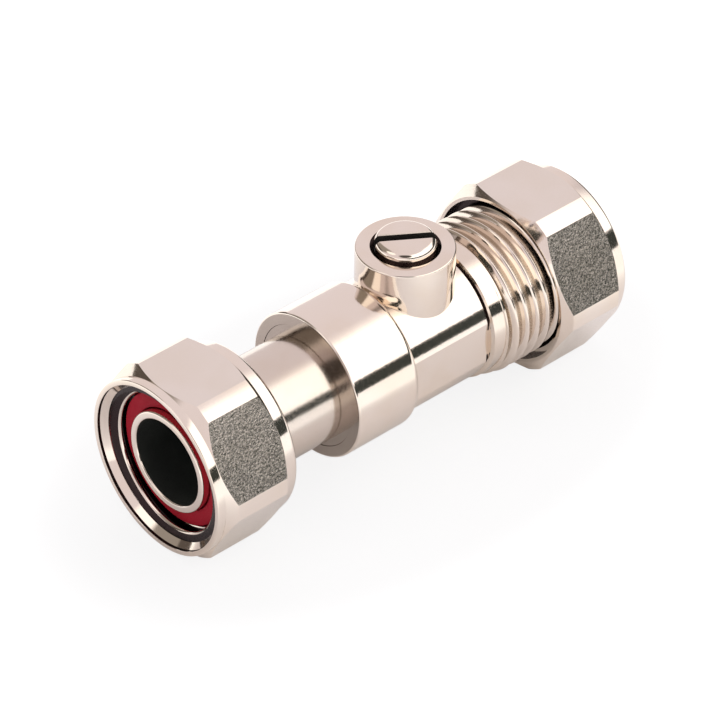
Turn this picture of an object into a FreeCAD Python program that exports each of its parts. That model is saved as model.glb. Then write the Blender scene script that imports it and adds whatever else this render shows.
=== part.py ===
import FreeCAD, Part
import os
import re
import Sketcher

# Isolating valve: a straight quarter-turn ball valve with a slotted stem, a swivel nut for a tap at the
# front end and a compression nut for a copper pipe at the rear end. Millimetres. Every piece is drawn
# about the ball's centre, with the pipe axis along X and the stem along Z, and then placed so that the
# valve lies on the lower flats of its two nuts, centred over the origin.

# Driving sizes: name, value and what the value measures
SIZES = [
    # Threads
    ("tap_thread", 20.96, "major diameter of the swivel nut's thread"),
    ("thread_pitch", 1.814, "pitch of every thread"),
    ("thread_depth", 1.16, "height of every thread"),
    ("thread_flat", 0.306, "flat at a thread's crest and root"),
    ("thread_gap", 0.12, "radial play between the pipe thread and its nut"),
    ("relief_gap", 0.06, "thread reliefs beyond the thread, on the radius"),
    # Both hexagon nuts
    ("nut_wall", 1.48, "least wall between a nut's thread and its flats"),
    ("corner_rise", 1.2, "turned corners beyond the flats, on the radius"),
    ("band_step", 0.05, "turned end bands below the flats, on the radius"),
    ("back_band", 2.2, "length of the turned band at a nut's back"),
    ("back_bevel", 1.05, "length of the bevel from the corners to the back band"),
    ("back_taper", 0.45, "fall of the back band along its length, on the radius"),
    ("back_round", 0.7, "rounding of a nut's back edge"),
    ("edge_break", 0.25, "rounding of the fine turned edges"),
    # Swivel nut
    ("swivel_length", 13.25, "length of the swivel nut"),
    ("swivel_band", 1.2, "length of the turned band at its front"),
    ("swivel_bevel", 1.02, "length of the bevel from the front band to the corners"),
    ("swivel_mouth", 0.77, "mouth beyond the thread, on the radius"),
    ("swivel_rim", 0.45, "length of the straight wall inside its mouth"),
    ("swivel_cone", 0.75, "length of the cone from that wall to the thread's root"),
    ("rim_round", 0.15, "rounding of the rim around its mouth"),
    ("swivel_lip", 2.55, "thickness of the lip that holds the tail's flange"),
    ("swivel_relief", 1.9, "length of the thread relief in front of the lip"),
    # Tail piece and washer
    ("spigot_recess", 1.735, "spigot's rim behind the swivel nut's face"),
    ("spigot_length", 3.065, "spigot from its rim to the flange"),
    ("spigot_wall", 1.03, "wall of the spigot"),
    ("flange_length", 2.0, "thickness of the flange"),
    ("flange_play", 0.27, "flange inside the swivel nut's thread, on the radius"),
    ("lip_overlap", 0.55, "lip of the swivel nut over the flange, on the radius"),
    ("root_play", 0.1, "threaded root inside the swivel nut's hole, on the radius"),
    ("root_step", 1.05, "threaded root beyond the neck, on the radius"),
    ("root_recess", 0.55, "start of the root behind the collar's face"),
    ("neck_length", 17.92, "neck from the flange to the collar's face"),
    ("neck_wall", 1.45, "wall of the neck"),
    ("washer_thickness", 2.0, "fibre washer"),
    ("washer_play", 0.12, "fibre washer around the spigot, on the radius"),
    ("washer_width", 2.05, "width of the washer's ring"),
    # Valve body
    ("root_seat_play", 0.05, "root inside the collar, on the radius"),
    ("collar_wall", 1.615, "wall of the collar"),
    ("collar_depth", 8.38, "collar's face to the front seat"),
    ("collar_overhang", 1.6, "front seat under the collar"),
    ("collar_taper", 0.5, "length of the step from the collar down to the waist"),
    ("waist_wall", 1.23, "wall of the waist around the ball chamber"),
    ("flats_wall", 0.71, "least wall at the spanner flats"),
    ("flats_margin", 0.45, "spanner flats behind the collar"),
    ("flats_runout", 0.1, "spanner flats past the waist's rear end"),
    ("groove_width", 0.3, "width of the groove at the waist's rear end"),
    ("groove_depth", 0.3, "depth of that groove"),
    ("ring_length", 2.7, "plain ring from the waist to the pipe thread"),
    ("ring_rise", 0.4, "plain ring beyond the waist, on the radius"),
    ("ring_step", 0.3, "length of the step from the groove up to the ring"),
    ("ring_overhang", 1.26, "plain ring's end past the rear seat"),
    ("thread_lead", 0.45, "length of the bevel from the ring up to the thread"),
    ("chamber_play", 0.2, "ball inside its chamber, on the radius"),
    ("waterway", 11.0, "diameter of the passage behind the rear seat"),
    ("stop_wall", 1.96, "wall between the rear seat and the pipe's stop"),
    ("end_bevel", 1.0, "bevel at the end of the pipe thread"),
    ("boss_wall", 2.35, "wall of the boss around the stem"),
    ("boss_height", 3.97, "boss above the stem's thrust washer"),
    ("hole_bevel", 0.45, "bevel at the top of the stem's hole"),
    # Pipe end
    ("pipe_dia", 15.0, "outside diameter of the pipe that fits"),
    ("pipe_play", 0.1, "socket and olive around the pipe, on the radius"),
    ("socket_depth", 11.0, "pipe socket from its mouth to its stop"),
    ("socket_wall", 1.64, "wall between the socket and the thread's root"),
    ("olive_cone", 1.2, "depth of the cone at the socket's mouth"),
    ("olive_seat", 0.75, "olive inside the socket's mouth"),
    ("olive_length", 6.0, "length of the olive"),
    ("olive_rise", 1.15, "thickness of the olive at its middle"),
    ("olive_edge", 0.35, "thickness of the olive at its ends"),
    ("olive_taper", 0.85, "length of the olive's tapered ends"),
    # Compression nut
    ("grip", 4.44, "length of the pipe thread inside the compression nut"),
    ("grip_length", 12.28, "length of the compression nut"),
    ("grip_bevel", 0.84, "length of the bevel from its face to the corners"),
    ("grip_face_step", 0.25, "edge of its face below the flats, on the radius"),
    ("grip_mouth", 1.03, "mouth beyond the thread, on the radius"),
    ("grip_rim", 1.2, "length of the straight wall inside its mouth"),
    ("grip_thread", 6.9, "face to the end of the thread"),
    ("grip_relief", 1.54, "length of the thread relief"),
    ("grip_cone", 1.8, "length of the cone that presses the olive"),
    ("grip_cone_rise", 1.65, "rise of that cone, on the radius"),
    ("grip_hole_play", 0.05, "hole beyond the pipe socket, on the radius"),
    # Ball and seats
    ("ball_dia", 15.5, "ball"),
    ("ball_bore", 9.5, "bore through the ball"),
    ("ball_gap", 0.08, "seats' cones off the ball"),
    ("slot_bridge", 0.75, "wall between the ball's bore and the slot for the tang"),
    ("seat_back", 0.47, "seats' back faces beyond the ball"),
    ("seat_face", 4.4, "seats' front faces from the ball's centre"),
    ("seat_play", 0.05, "seats inside the chamber, on the radius"),
    ("seat_relief", 0.15, "seats' bore beyond the ball's bore, on the radius"),
    # Stem
    ("stem_dia", 8.0, "stem"),
    ("stem_play", 0.1, "stem inside the boss, on the radius"),
    ("stem_proud", 1.5, "stem above the boss"),
    ("stem_edge", 1.0, "rounding of the stem's top edge"),
    ("stem_turn", 34.1, "degrees from fully open at which the valve was left"),
    ("driver_width", 1.2, "width of the screwdriver slot"),
    ("driver_depth", 1.8, "depth of the screwdriver slot"),
    ("shoulder_lift", 0.35, "stem's shoulder above the ball"),
    ("shoulder_width", 0.9, "shoulder beyond the stem, on the radius"),
    ("shoulder_play", 0.15, "shoulder inside its pocket, on the radius"),
    ("shoulder_height", 1.2, "thickness of the shoulder"),
    ("thrust_height", 0.45, "thickness of the thrust washer"),
    ("thrust_play", 0.05, "thrust washer below the boss"),
    ("tang_thickness", 2.2, "thickness of the tang"),
    ("tang_play", 0.1, "tang inside the ball's slot, each side"),
    ("tang_tip", 0.2, "tang above the slot's floor"),
    ("tang_inset", 0.4, "tang's ends inside the shoulder and clear of the seats"),
    ("seal_depth", 0.8, "depth of the stem's seal grooves"),
    ("seal_width", 1.2, "width of the stem's seal grooves"),
    ("seal_land", 0.45, "land beside each seal groove"),
    ("seal_play", 0.02, "seals inside their grooves"),
    # Cutting
    ("overrun", 1.0, "cutting outlines past the faces that they open"),
]

# Places and radii that follow from the driving sizes
PLACES = [
    # Along the pipe axis, from the ball's centre
    ("seat_reach", "ball_dia / 2 + seat_back"),
    ("collar_face", "seat_reach + collar_depth"),
    ("collar_back", "seat_reach - collar_overhang"),
    ("root_start", "collar_face - root_recess"),
    ("flange_back", "collar_face + neck_length"),
    ("flange_face", "flange_back + flange_length"),
    ("tail_rim", "flange_face + spigot_length"),
    ("swivel_face", "tail_rim + spigot_recess"),
    ("swivel_back", "swivel_face - swivel_length"),
    ("swivel_shelf", "swivel_back + swivel_lip"),
    ("swivel_relief_start", "swivel_shelf + swivel_relief"),
    ("ring_end", "seat_reach + ring_overhang"),
    ("waist_end", "ring_end - ring_length"),
    ("thread_start", "ring_end - thread_flat"),
    ("pipe_stop", "seat_reach + stop_wall"),
    ("body_end", "pipe_stop + socket_depth"),
    ("olive_start", "body_end - olive_seat"),
    ("olive_end", "olive_start + olive_length"),
    ("grip_face", "body_end - grip"),
    ("grip_back", "grip_face + grip_length"),
    ("grip_relief_start", "grip_face + grip_thread"),
    ("grip_cone_start", "grip_relief_start + grip_relief"),
    ("grip_cone_end", "grip_cone_start + grip_cone"),
    ("grip_thread_start",
     "thread_start + (floor((grip_face - thread_start) / thread_pitch - 0.5) + 0.5) * thread_pitch"),
    # Radii about the pipe axis
    ("tap_major", "tap_thread / 2"),
    ("tap_minor", "tap_major - thread_depth"),
    ("tap_mouth", "tap_major + swivel_mouth"),
    ("tap_relief", "tap_major + relief_gap"),
    ("flange_radius", "tap_minor - flange_play"),
    ("swivel_hole", "flange_radius - lip_overlap"),
    ("root_radius", "swivel_hole - root_play"),
    ("neck_radius", "root_radius - root_step"),
    ("tail_bore", "neck_radius - neck_wall"),
    ("spigot_radius", "tail_bore + spigot_wall"),
    ("washer_hole", "spigot_radius + washer_play"),
    ("root_bore", "root_radius + root_seat_play"),
    ("collar_radius", "root_bore + collar_wall"),
    ("ball_radius", "ball_dia / 2"),
    ("chamber", "ball_radius + chamber_play"),
    ("waist_radius", "chamber + waist_wall"),
    ("ring_radius", "waist_radius + ring_rise"),
    ("flats_reach", "chamber + flats_wall"),
    ("socket", "pipe_dia / 2 + pipe_play"),
    ("pipe_minor", "socket + socket_wall"),
    ("pipe_major", "pipe_minor + thread_depth"),
    ("grip_minor", "pipe_minor + thread_gap"),
    ("grip_major", "pipe_major + thread_gap"),
    ("grip_mouth_radius", "grip_major + grip_mouth"),
    ("grip_relief_radius", "grip_major + relief_gap"),
    ("grip_hole", "socket + grip_hole_play"),
    ("nut_half", "max(tap_major; grip_major) + nut_wall"),
    ("nut_corner", "nut_half + corner_rise"),
    ("nut_band", "nut_half - band_step"),
    ("nut_back", "nut_band - back_taper"),
    ("hexagon_point", "nut_half * 2 / sqrt(3)"),
    ("seat_bore", "ball_bore / 2 + seat_relief"),
    ("seat_outer", "chamber - seat_play"),
    ("seat_cone", "(ball_radius + ball_gap) * sqrt(2)"),
    # Heights and radii about the stem's axis
    ("slot_floor", "ball_bore / 2 + slot_bridge"),
    ("stem_radius", "stem_dia / 2"),
    ("stem_hole", "stem_radius + stem_play"),
    ("shoulder_radius", "stem_radius + shoulder_width"),
    ("shoulder_pocket", "shoulder_radius + shoulder_play"),
    ("shoulder_bottom", "ball_radius + shoulder_lift"),
    ("shoulder_top", "shoulder_bottom + shoulder_height"),
    ("thrust_top", "shoulder_top + thrust_height"),
    ("boss_roof", "thrust_top + thrust_play"),
    ("boss_top", "boss_roof + boss_height"),
    ("boss_radius", "stem_hole + boss_wall"),
    ("stem_top", "boss_top + stem_proud"),
    ("tang_bottom", "slot_floor + tang_tip"),
    ("tang_half", "min(shoulder_radius; seat_face) - tang_inset"),
    ("lower_seal_bottom", "boss_roof + seal_land"),
    ("lower_seal_top", "lower_seal_bottom + seal_width"),
    ("upper_seal_bottom", "lower_seal_top + seal_land"),
    ("upper_seal_top", "upper_seal_bottom + seal_width"),
    ("seal_floor", "stem_radius - seal_depth"),
    # Where the ball's centre stands
    ("ball_x", "(swivel_face - grip_back) / 2"),
    ("ball_z", "nut_half"),
]

# A sketch numbers the points of a line in this order, and its own origin as line -1
POINTS = ("whole line", "start", "end")
START = POINTS.index("start")
END = POINTS.index("end")
ORIGIN = -1

# How close an edge lies to the place and radius by which it is picked
MATCH = 0.001

doc = FreeCAD.newDocument("IsolatingValve")


# The two sheets

size_sheet = doc.addObject("Spreadsheet::Sheet", "Sizes")
for row, (alias, number, meaning) in enumerate(SIZES, start=1):
    size_sheet.set(f"A{row}", meaning)
    size_sheet.set(f"B{row}", str(number))
    size_sheet.setAlias(f"B{row}", alias)
doc.recompute()

OWNER = {alias: "Sizes" for alias, number, meaning in SIZES}
OWNER.update({alias: "Places" for alias, formula in PLACES})


def tied(text):
    """Expression in which each named size or place points at its cell."""
    return re.sub(r"[a-z_]+", lambda word: f"{OWNER[word.group()]}.{word.group()}"
                  if word.group() in OWNER else word.group(), text)


place_sheet = doc.addObject("Spreadsheet::Sheet", "Places")
for row, (alias, formula) in enumerate(PLACES, start=1):
    place_sheet.setAlias(f"B{row}", alias)
    place_sheet.set(f"A{row}", alias.replace("_", " "))
    place_sheet.set(f"B{row}", "=" + tied(formula).replace("Places.", ""))
doc.recompute()


def value(text):
    """Present value of an expression of named sizes and places."""
    return float(size_sheet.evalExpression(tied(text)))


# Ways of making features

def new_body(label):
    """Body of one piece, placed with the ball's centre."""
    body = doc.addObject("PartDesign::Body", label)
    place(body)
    return body


def place(piece, height="0"):
    """Put a piece drawn about the ball's centre where that centre stands, or above it."""
    piece.setExpression("Placement.Base.x", tied("ball_x"))
    piece.setExpression("Placement.Base.z", tied(f"ball_z + {height}"))


def turn_with_stem(piece):
    """Turn a piece about the stem's axis to the angle at which the valve was left."""
    piece.Placement = FreeCAD.Placement(
        piece.Placement.Base, FreeCAD.Rotation(FreeCAD.Vector(0, 0, -1), value("stem_turn")))
    piece.setExpression("Placement.Rotation.Angle", tied("stem_turn"))


def outline(body, name, plane, *loops):
    """Sketch of closed straight-sided loops on an origin plane, each corner tied to the sheets."""
    sketch = body.newObject("Sketcher::SketchObject", name)
    sketch.AttachmentSupport = next(f for f in body.Origin.OriginFeatures if f.Role == plane)
    sketch.MapMode = "FlatFace"
    for corners in loops:
        first = sketch.GeometryCount
        spots = [FreeCAD.Vector(value(x), value(y), 0) for x, y in corners]
        for start, end in zip(spots, spots[1:] + spots[:1]):
            sketch.addGeometry(Part.LineSegment(start, end), False)
        for side, (x, y) in enumerate(corners):
            following = first + (side + 1) % len(corners)
            sketch.addConstraint(Sketcher.Constraint(
                "Coincident", first + side, END, following, START))
            for kind, text in (("DistanceX", x), ("DistanceY", y)):
                index = sketch.addConstraint(Sketcher.Constraint(
                    kind, ORIGIN, START, first + side, START, value(text)))
                sketch.setExpression(f"Constraints[{index}]", tied(text))
    return sketch


def revolved(body, name, axis, corners, kind="PartDesign::Revolution"):
    """Turn an outline in the XZ plane about the pipe axis (H_Axis) or the stem's axis (V_Axis)."""
    sketch = outline(body, f"{name}_outline", "XZ_Plane", corners)
    feature = body.newObject(kind, name)
    feature.Profile = sketch
    feature.ReferenceAxis = (sketch, [axis])
    doc.recompute()
    return feature


def cut_through(body, name, plane, *loops):
    """Cut outlines on an origin plane right through the piece, both ways."""
    sketch = outline(body, f"{name}_outline", plane, *loops)
    feature = body.newObject("PartDesign::Pocket", name)
    feature.Profile = sketch
    feature.Type = "ThroughAll"
    feature.SideType = "Symmetric"
    doc.recompute()
    return feature


def cut_hexagon(body, name):
    """Mill the six flats, one facing straight up, leaving the turned corners and end bands."""
    far = "nut_corner + overrun"
    blank = [(f"-({far})", f"-({far})"), (far, f"-({far})"), (far, far), (f"-({far})", far)]
    hexagon = [
        ("hexagon_point", "0"), ("hexagon_point / 2", "nut_half"), ("-hexagon_point / 2", "nut_half"),
        ("-hexagon_point", "0"), ("-hexagon_point / 2", "-nut_half"), ("hexagon_point / 2", "-nut_half"),
    ]
    return cut_through(body, name, "YZ_Plane", blank, hexagon)


def cut_thread(body, name, start, length, crest, root):
    """Cut a right-hand thread groove from start along the pipe axis, between its crest and root radii."""
    opening = "(thread_pitch - thread_flat) / 2"
    floor = "thread_flat / 2"
    outside = f"{crest} + ({crest} - ({root})) / abs({crest} - ({root})) * relief_gap"
    groove = [
        (f"{start} - {opening}", outside), (f"{start} - {opening}", crest), (f"{start} - {floor}", root),
        (f"{start} + {floor}", root), (f"{start} + {opening}", crest), (f"{start} + {opening}", outside),
    ]
    sketch = outline(body, f"{name}_outline", "XZ_Plane", groove)
    feature = body.newObject("PartDesign::SubtractiveHelix", name)
    feature.Profile = sketch
    feature.ReferenceAxis = (sketch, ["H_Axis"])
    feature.HasBeenEdited = True
    feature.Mode = "pitch-height-angle"
    feature.setExpression("Pitch", tied("thread_pitch"))
    feature.setExpression("Height", tied(length))
    doc.recompute()
    return feature


def round_circles(body, name, radius, rings, axis="x"):
    """Round the circular edges that lie at the given places along an axis, with the given radii."""
    base = body.Tip
    names = []
    for along, reach in rings:
        for number, edge in enumerate(base.Shape.Edges, start=1):
            if not isinstance(edge.Curve, Part.Circle):
                continue
            same_place = abs(getattr(edge.Curve.Center, axis) - value(along)) < MATCH
            if same_place and abs(edge.Curve.Radius - value(reach)) < MATCH:
                names.append(f"Edge{number}")
    feature = body.newObject("PartDesign::Fillet", name)
    feature.Base = (base, names)
    feature.setExpression("Radius", tied(radius))
    doc.recompute()
    return feature


# The pieces

def make_swivel_nut():
    """Hexagon nut that spins on the tail and draws it against a tap."""
    body = new_body("swivel_nut")
    revolved(body, "swivel_blank", "H_Axis", [
        ("-swivel_face", "tap_mouth"),
        ("-swivel_face", "nut_band"),
        ("-swivel_face + swivel_band", "nut_band"),
        ("-swivel_face + swivel_band + swivel_bevel", "nut_corner"),
        ("-swivel_back - back_band - back_bevel", "nut_corner"),
        ("-swivel_back - back_band", "nut_band"),
        ("-swivel_back", "nut_back"),
        ("-swivel_back", "swivel_hole"),
        ("-swivel_shelf", "swivel_hole"),
        ("-swivel_shelf", "tap_relief"),
        ("-swivel_relief_start", "tap_relief"),
        ("-swivel_relief_start", "tap_minor"),
        ("-swivel_face + swivel_rim + swivel_cone", "tap_minor"),
        ("-swivel_face + swivel_rim + swivel_cone", "tap_major"),
        ("-swivel_face + swivel_rim", "tap_mouth"),
    ])
    round_circles(body, "swivel_back_round", "back_round", [("-swivel_back", "nut_back")])
    round_circles(body, "swivel_front_round", "rim_round", [("-swivel_face", "nut_band")])
    cut_hexagon(body, "swivel_flats")
    cut_thread(body, "swivel_thread", "-swivel_face - thread_pitch",
               "swivel_face - swivel_relief_start + thread_pitch + swivel_relief / 2",
               "tap_minor", "tap_major")


def make_tail_piece():
    """Turned tail: spigot, flange and neck, with a root that screws into the body's collar."""
    body = new_body("tail_piece")
    revolved(body, "tail_turning", "H_Axis", [
        ("-tail_rim", "tail_bore"),
        ("-tail_rim", "spigot_radius"),
        ("-flange_face", "spigot_radius"),
        ("-flange_face", "flange_radius"),
        ("-flange_back", "flange_radius"),
        ("-flange_back", "neck_radius"),
        ("-root_start", "neck_radius"),
        ("-root_start", "root_radius"),
        ("-seat_reach", "root_radius"),
        ("-seat_reach", "tail_bore"),
    ])
    round_circles(body, "tail_edges", "edge_break", [
        ("-tail_rim", "tail_bore"), ("-tail_rim", "spigot_radius"), ("-flange_back", "flange_radius")])


def make_fibre_washer():
    """Flat sealing washer that lies on the flange, around the spigot."""
    body = new_body("fibre_washer")
    revolved(body, "washer_ring", "H_Axis", [
        ("-flange_face - washer_thickness", "washer_hole"),
        ("-flange_face - washer_thickness", "washer_hole + washer_width"),
        ("-flange_face", "washer_hole + washer_width"),
        ("-flange_face", "washer_hole"),
    ])


def make_valve_body():
    """Body: collar, waist with spanner flats, stem boss and pipe thread around the ball chamber."""
    body = new_body("valve_body")
    revolved(body, "body_blank", "H_Axis", [
        ("-collar_face", "0"),
        ("-collar_face", "collar_radius"),
        ("-collar_back", "collar_radius"),
        ("-collar_back + collar_taper", "waist_radius"),
        ("waist_end - groove_width", "waist_radius"),
        ("waist_end - groove_width", "waist_radius - groove_depth"),
        ("waist_end", "waist_radius - groove_depth"),
        ("waist_end + ring_step", "ring_radius"),
        ("ring_end - thread_lead", "ring_radius"),
        ("ring_end", "pipe_major"),
        ("body_end - end_bevel", "pipe_major"),
        ("body_end", "pipe_major - end_bevel"),
        ("body_end", "0"),
    ])
    round_circles(body, "collar_edges", "edge_break", [
        ("-collar_face", "collar_radius"), ("-collar_back", "collar_radius")])
    far = "collar_radius + overrun"
    cut_through(
        body, "spanner_flats", "XY_Plane",
        *[[("-collar_back + flats_margin", near), ("waist_end + flats_runout", near),
           ("waist_end + flats_runout", edge), ("-collar_back + flats_margin", edge)]
          for near, edge in (("flats_reach", far), ("-flats_reach", f"-({far})"))])
    revolved(body, "stem_boss", "V_Axis", [
        ("0", "0"),
        ("boss_radius", "0"),
        ("boss_radius", "boss_top - edge_break"),
        ("boss_radius - edge_break", "boss_top"),
        ("0", "boss_top"),
    ])
    revolved(body, "water_passage", "H_Axis", [
        ("-collar_face - overrun", "0"),
        ("-collar_face - overrun", "root_bore"),
        ("-seat_reach", "root_bore"),
        ("-seat_reach", "chamber"),
        ("seat_reach", "chamber"),
        ("seat_reach", "waterway / 2"),
        ("pipe_stop", "waterway / 2"),
        ("pipe_stop", "socket"),
        ("body_end - olive_cone", "socket"),
        ("body_end + overrun", "socket + olive_cone + overrun"),
        ("body_end + overrun", "0"),
    ], "PartDesign::Groove")
    revolved(body, "stem_passage", "V_Axis", [
        ("0", "0"),
        ("shoulder_pocket", "0"),
        ("shoulder_pocket", "boss_roof"),
        ("stem_hole", "boss_roof"),
        ("stem_hole", "boss_top - hole_bevel"),
        ("stem_hole + hole_bevel + overrun", "boss_top + overrun"),
        ("0", "boss_top + overrun"),
    ], "PartDesign::Groove")
    cut_thread(body, "pipe_thread", "thread_start", "body_end - thread_start + thread_pitch",
               "pipe_major", "pipe_minor")


def make_seat(label, side):
    """Seat ring with a cone that faces the ball, in front of it (side "-") or behind it (side "")."""
    body = new_body(label)
    revolved(body, f"{label}_ring", "H_Axis", [
        (f"{side}seat_reach", "seat_bore"),
        (f"{side}seat_reach", "seat_outer"),
        (f"{side}seat_face", "seat_outer"),
        (f"{side}seat_face", "seat_cone - seat_face"),
        (f"{side}(seat_cone - seat_bore)", "seat_bore"),
    ])


def make_ball():
    """Bored ball with a slot across its top for the stem's tang."""
    blank = doc.addObject("Part::Sphere", "ball_blank")
    blank.setExpression("Radius", tied("ball_radius"))
    bore = doc.addObject("Part::Cylinder", "ball_bore_tool")
    bore.setExpression("Radius", tied("ball_bore / 2"))
    bore.setExpression("Height", tied("ball_dia + 2 * overrun"))
    bore.Placement.Rotation = FreeCAD.Rotation(FreeCAD.Vector(0, 1, 0), 90)
    bore.setExpression("Placement.Base.x", tied("-ball_radius - overrun"))
    slot = doc.addObject("Part::Box", "tang_slot_tool")
    slot.setExpression("Length", tied("tang_thickness + 2 * tang_play"))
    slot.setExpression("Width", tied("ball_dia + 2 * overrun"))
    slot.setExpression("Height", tied("ball_radius"))
    slot.setExpression("Placement.Base.x", tied("-tang_thickness / 2 - tang_play"))
    slot.setExpression("Placement.Base.y", tied("-ball_radius - overrun"))
    slot.setExpression("Placement.Base.z", tied("slot_floor"))
    bored = doc.addObject("Part::Cut", "bored_ball")
    bored.Base = blank
    bored.Tool = bore
    ball = doc.addObject("Part::Cut", "ball")
    ball.Base = bored
    ball.Tool = slot
    place(ball)
    turn_with_stem(ball)


def make_stem():
    """Turning stem: slotted head, two seal grooves, a shoulder under the boss and a tang in the ball."""
    body = new_body("stem")
    turn_with_stem(body)
    revolved(body, "stem_turning", "V_Axis", [
        ("0", "shoulder_bottom"),
        ("shoulder_radius", "shoulder_bottom"),
        ("shoulder_radius", "shoulder_top"),
        ("stem_radius", "shoulder_top"),
        ("stem_radius", "lower_seal_bottom"),
        ("seal_floor", "lower_seal_bottom"),
        ("seal_floor", "lower_seal_top"),
        ("stem_radius", "lower_seal_top"),
        ("stem_radius", "upper_seal_bottom"),
        ("seal_floor", "upper_seal_bottom"),
        ("seal_floor", "upper_seal_top"),
        ("stem_radius", "upper_seal_top"),
        ("stem_radius", "stem_top"),
        ("0", "stem_top"),
    ])
    round_circles(body, "stem_top_round", "stem_edge", [("stem_top", "stem_radius")], "z")
    tang = outline(body, "tang_outline", "XZ_Plane", [
        ("-tang_thickness / 2", "tang_bottom"),
        ("tang_thickness / 2", "tang_bottom"),
        ("tang_thickness / 2", "shoulder_bottom + shoulder_height / 2"),
        ("-tang_thickness / 2", "shoulder_bottom + shoulder_height / 2"),
    ])
    blade = body.newObject("PartDesign::Pad", "tang")
    blade.Profile = tang
    blade.SideType = "Symmetric"
    blade.setExpression("Length", tied("2 * tang_half"))
    doc.recompute()
    cut_through(body, "driver_slot", "YZ_Plane", [
        ("-driver_width / 2", "stem_top - driver_depth"),
        ("driver_width / 2", "stem_top - driver_depth"),
        ("driver_width / 2", "stem_top + overrun"),
        ("-driver_width / 2", "stem_top + overrun"),
    ])


def make_thrust_washer():
    """Thin washer on the stem's shoulder, under the boss."""
    body = new_body("stem_thrust_washer")
    revolved(body, "thrust_ring", "V_Axis", [
        ("stem_hole", "shoulder_top"),
        ("shoulder_radius", "shoulder_top"),
        ("shoulder_radius", "thrust_top"),
        ("stem_hole", "thrust_top"),
    ])


def make_stem_seal(label, bottom):
    """O-ring that fills one of the stem's grooves out to the boss."""
    ring = doc.addObject("Part::Torus", label)
    ring.setExpression("Radius1", tied("(stem_hole + seal_floor) / 2"))
    ring.setExpression("Radius2", tied("(stem_hole - seal_floor) / 2 - seal_play"))
    place(ring, f"{bottom} + seal_width / 2")


def make_olive():
    """Soft ring between the socket's mouth and the compression nut's cone."""
    body = new_body("olive")
    revolved(body, "olive_ring", "H_Axis", [
        ("olive_start", "socket"),
        ("olive_start", "socket + olive_edge"),
        ("olive_start + olive_taper", "socket + olive_rise"),
        ("olive_end - olive_taper", "socket + olive_rise"),
        ("olive_end", "socket + olive_edge"),
        ("olive_end", "socket"),
    ])


def make_compression_nut():
    """Hexagon nut that runs on the pipe thread and squeezes the olive onto the pipe."""
    body = new_body("compression_nut")
    revolved(body, "grip_blank", "H_Axis", [
        ("grip_face", "grip_mouth_radius"),
        ("grip_face", "nut_half - grip_face_step"),
        ("grip_face + grip_bevel", "nut_corner"),
        ("grip_back - back_band - back_bevel", "nut_corner"),
        ("grip_back - back_band", "nut_band"),
        ("grip_back", "nut_back"),
        ("grip_back", "grip_hole"),
        ("grip_cone_end", "grip_hole"),
        ("grip_cone_start", "grip_hole + grip_cone_rise"),
        ("grip_cone_start", "grip_relief_radius"),
        ("grip_relief_start", "grip_relief_radius"),
        ("grip_relief_start", "grip_minor"),
        ("grip_face + grip_rim", "grip_minor"),
        ("grip_face + grip_rim", "grip_mouth_radius"),
    ])
    round_circles(body, "grip_back_round", "back_round", [("grip_back", "nut_back")])
    cut_hexagon(body, "grip_flats")
    cut_thread(body, "grip_thread_cut", "grip_thread_start",
               "grip_relief_start - grip_thread_start + grip_relief / 2", "grip_minor", "grip_major")


make_swivel_nut()
make_tail_piece()
make_fibre_washer()
make_valve_body()
make_seat("front_seat", "-")
make_seat("rear_seat", "")
make_ball()
make_stem()
make_thrust_washer()
make_stem_seal("lower_stem_seal", "lower_seal_bottom")
make_stem_seal("upper_stem_seal", "upper_seal_bottom")
make_olive()
make_compression_nut()
doc.recompute()


# Checks before anything is written

CUTS = ("PartDesign::Pocket", "PartDesign::Groove", "PartDesign::SubtractiveHelix")
for item in doc.Objects:
    if "Invalid" in item.State or "Error" in item.State:
        raise RuntimeError(f"{item.Label} did not build: {item.State}")
    if item.TypeId in CUTS and item.Shape.Volume >= item.BaseFeature.Shape.Volume:
        raise RuntimeError(f"{item.Label} cuts nothing")

pieces = [item for item in doc.Objects if item.TypeId in ("PartDesign::Body", "Part::Torus")]
pieces.append(doc.getObject("ball"))
for piece in pieces:
    if piece.Shape.isNull() or not piece.Shape.isValid() or len(piece.Shape.Solids) != 1:
        raise RuntimeError(f"{piece.Label} is not one valid solid")

os.makedirs("parts", exist_ok=True)
for piece in pieces:
    piece.Shape.exportStep(f"parts/{piece.Label}.step")
    box = piece.Shape.BoundBox
    print(f"{piece.Label:20s} {piece.Shape.Volume:9.2f} mm3  x {box.XMin:7.2f} {box.XMax:7.2f}"
          f"  y {box.YMin:7.2f} {box.YMax:7.2f}  z {box.ZMin:7.2f} {box.ZMax:7.2f}")
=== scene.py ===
"""Looks of a plated isolating valve: its turned and forged pieces, its seals and a soft studio."""

from __future__ import annotations

import logging
import math
from dataclasses import dataclass
from enum import Enum
from typing import Callable, ClassVar, Sequence

import bpy
from mathutils import Matrix, Vector


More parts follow.
